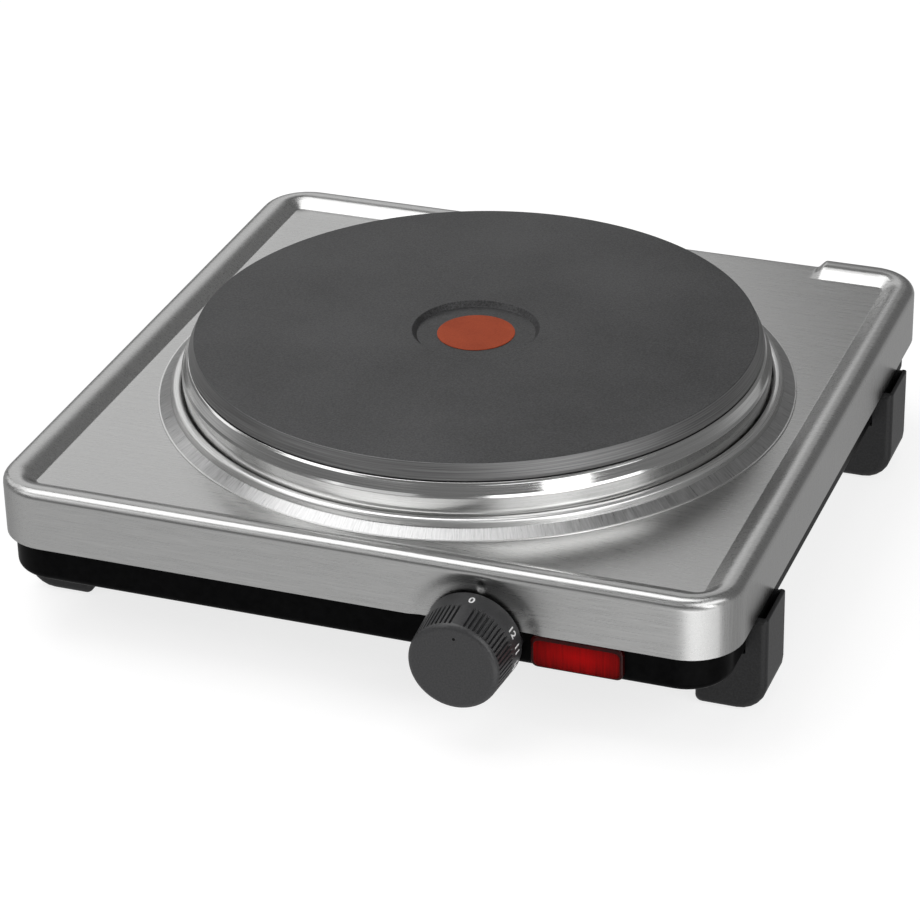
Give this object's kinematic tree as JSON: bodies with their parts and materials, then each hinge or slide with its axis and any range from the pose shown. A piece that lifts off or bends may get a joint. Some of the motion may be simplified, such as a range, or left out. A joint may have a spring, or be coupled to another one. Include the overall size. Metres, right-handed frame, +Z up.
{
  "type": "hot plate burner",
  "caption": "Countertop electric hot plate: round cast-iron plate in a square steel casing on a black base with feet, a front heat control and a pilot lamp.",
  "frame": {"origin": "middle of the footprint at table level, knob included", "axes": "+Z up, -Y towards the front with the knob, +X to the user's right"},
  "size_m": [0.291, 0.303, 0.0825],
  "materials": {
    "casing_steel": "brushed, satin",
    "polished_steel": "polished",
    "plate_iron": "fine blasted, matte, machined edge",
    "marker_enamel": "matte red enamel",
    "pan_paint": "satin black",
    "foot_plastic": "moulded, satin",
    "pad_rubber": "matte",
    "knob_plastic": "moulded, satin",
    "spring_steel": "spring steel",
    "lens_red": "clear red, ribbed",
    "lamp_plastic": "satin",
    "bulb_glass": "clear",
    "seal_rubber": "matte",
    "gland_rubber": "matte",
    "bakelite": "moulded",
    "cam_plastic": "moulded",
    "brass_contact": "plain",
    "zinc_steel": "zinc plated",
    "steatite": "unglazed",
    "alu_sheet": "rolled",
    "ceramic_mass": "pressed powder",
    "coil_wire": "resistance wire",
    "lead_brown": "silicone sleeve",
    "lead_blue": "silicone sleeve",
    "lead_white": "silicone sleeve",
    "lead_green": "silicone sleeve"
  },
  "bodies": {
    "root": {"base_pan": "pan_paint", "base_posts": "zinc_steel", "base_screws": "zinc_steel", "cable_gland": "gland_rubber", "centre_nut": "zinc_steel", "centre_stud": "zinc_steel", "centre_washer": "zinc_steel", "ceramic_bed_inner": "ceramic_mass", "ceramic_bed_middle": "ceramic_mass", "ceramic_bed_outer": "ceramic_mass", "clamp_bar": "zinc_steel", "contact_spring": "brass_contact", "earth_screw": "brass_contact", "earth_tag": "brass_contact", "foot_front_left": "foot_plastic", "foot_front_right": "foot_plastic", "foot_pad_front_left": "pad_rubber", "foot_pad_front_right": "pad_rubber", "foot_pad_rear_left": "pad_rubber", "foot_pad_rear_right": "pad_rubber", "foot_rear_left": "foot_plastic", "foot_rear_right": "foot_plastic", "foot_screws": "zinc_steel", "heat_shield": "alu_sheet", "heating_coil_inner": "coil_wire", "heating_coil_middle": "coil_wire", "heating_coil_outer": "coil_wire", "hot_plate": "plate_iron", "lamp_lead_long": "lead_white", "lamp_lead_short": "lead_white", "lead_earth": "lead_green", "lead_live": "lead_brown", "lead_neutral": "lead_blue", "lead_plate_feed": "lead_white", "lower_spacer": "zinc_steel", "mains_block": "bakelite", "mains_block_screws": "brass_contact", "neon_bulb": "bulb_glass", "overheat_protector": "steatite", "pilot_housing": "lamp_plastic", "pilot_lens": "lens_red", "plate_bottom_cover": "zinc_steel", "plate_seal": "seal_rubber", "plate_terminal_block": "steatite", "plate_terminals": "zinc_steel", "red_marker": "marker_enamel", "regulator_cover": "bakelite", "regulator_housing": "bakelite", "regulator_screws": "zinc_steel", "regulator_terminals": "brass_contact", "spill_ring": "polished_steel", "top_casing": "casing_steel", "upper_spacer": "zinc_steel"},
    "knob": {"control_knob": "knob_plastic", "knob_clip": "spring_steel", "regulator_shaft": "zinc_steel", "regulator_cam": "cam_plastic"}
  },
  "joints": [
    {"name": "knob_turn", "type": "hinge", "parent": "root", "child": "knob", "pos_m": [0.0483, -0.1408, 0.0342], "axis": [0, 1, 0], "range_deg": [0, 305]}
  ]
}
